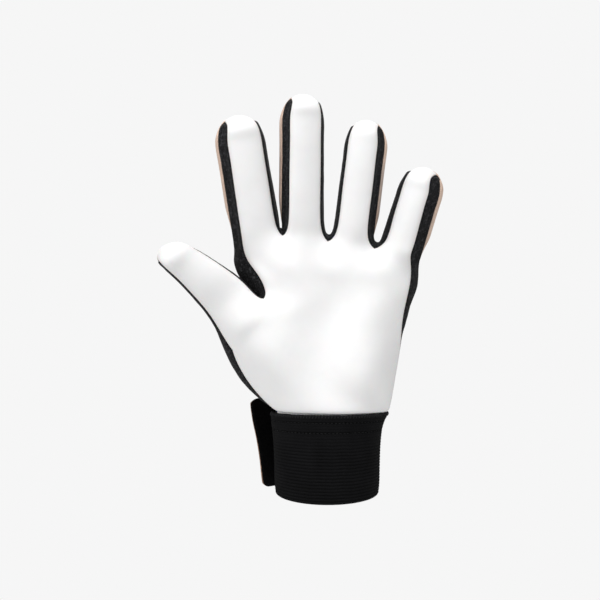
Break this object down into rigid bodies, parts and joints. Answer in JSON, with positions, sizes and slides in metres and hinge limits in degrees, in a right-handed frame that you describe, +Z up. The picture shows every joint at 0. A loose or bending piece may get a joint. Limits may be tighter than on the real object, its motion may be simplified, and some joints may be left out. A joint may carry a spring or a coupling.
{
  "type": "goalkeeper glove",
  "caption": "Left goalkeeper's glove, palm side, white latex palm, black knit gussets, peach printed backhand, black elastic cuff and closing strap.",
  "frame": {"origin": "centre of the opening in the cuff's lower edge, where the hand goes in", "axes": "+Z up along the hand to the middle finger's tip, +Y from the palm to the back of the hand, +X from the thumb side to the little finger's side"},
  "size_m": [0.1726, 0.0546, 0.2481],
  "materials": {
    "latex": "matte",
    "printed_foam": "matte",
    "knit": "matte",
    "elastic": "matte",
    "strap_fabric": "matte",
    "hook_fabric": "matte"
  },
  "bodies": {
    "root": {"palm_panel": "latex", "backhand_panel": "printed_foam", "gusset_thumb_outer": "knit", "gusset_thumb_index": "knit", "gusset_index_middle": "knit", "gusset_middle_ring": "knit", "gusset_ring_little": "knit", "gusset_little_outer": "knit", "cuff_band": "elastic", "closing_strap": "strap_fabric", "hook_pad": "hook_fabric"}
  },
  "joints": []
}
